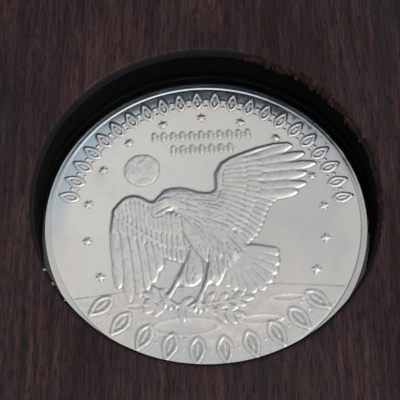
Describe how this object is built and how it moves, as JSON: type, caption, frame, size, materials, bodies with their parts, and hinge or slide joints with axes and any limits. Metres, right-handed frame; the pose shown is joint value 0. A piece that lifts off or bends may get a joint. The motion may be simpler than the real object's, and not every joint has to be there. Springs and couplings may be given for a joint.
{
  "type": "coin capsule holder",
  "caption": "Flat wood-grain block in two halves that holds a round clear coin capsule between windows, with a coin in a black ring.",
  "frame": {"origin": "centre of the rear face, which the holder lies on, on the axis of the windows and the coin", "axes": "+Z out of the front window, +Y towards the head of the holder, along the grain, +X to the right as seen from the front"},
  "size_m": [0.08, 0.105, 0.015],
  "materials": {
    "facing": "satin",
    "board": "matte",
    "window_liner": "matte",
    "core": "matte",
    "edge_strip": "satin",
    "pins": "brushed",
    "bushes": "turned",
    "capsule_shell": "clear polished",
    "ring": "matte",
    "coin": "bright silver"
  },
  "bodies": {
    "rear_half": {"rear_facing": "facing", "rear_board": "board", "rear_window_liner": "window_liner", "rear_core": "core", "rear_edge_left": "edge_strip", "rear_edge_right": "edge_strip", "rear_edge_foot": "edge_strip", "rear_edge_head": "edge_strip", "locating_pins": "pins"},
    "capsule_rear": {"capsule_base": "capsule_shell"},
    "ring": {"coin_ring": "ring"},
    "coin": {"coin": "coin"},
    "capsule_front": {"capsule_lid": "capsule_shell"},
    "front_half": {"front_facing": "facing", "front_board": "board", "front_window_liner": "window_liner", "front_core": "core", "front_edge_left": "edge_strip", "front_edge_right": "edge_strip", "front_edge_foot": "edge_strip", "front_edge_head": "edge_strip", "pin_bushes": "bushes"}
  },
  "joints": [
    {"name": "capsule_lift", "type": "slide", "parent": "rear_half", "child": "capsule_rear", "axis": [0, 0, 1], "range_m": [0, 0.02]},
    {"name": "ring_lift", "type": "slide", "parent": "capsule_rear", "child": "ring", "axis": [0, 0, 1], "range_m": [0, 0.01]},
    {"name": "coin_turn", "type": "hinge", "parent": "ring", "child": "coin", "pos_m": [0, 0, 0.00719], "axis": [0, 0, 1], "continuous": true},
    {"name": "capsule_open", "type": "slide", "parent": "ring", "child": "capsule_front", "axis": [0, 0, 1], "range_m": [0, 0.012]},
    {"name": "front_half_lift", "type": "slide", "parent": "capsule_front", "child": "front_half", "axis": [0, 0, 1], "range_m": [0, 0.025]}
  ]
}
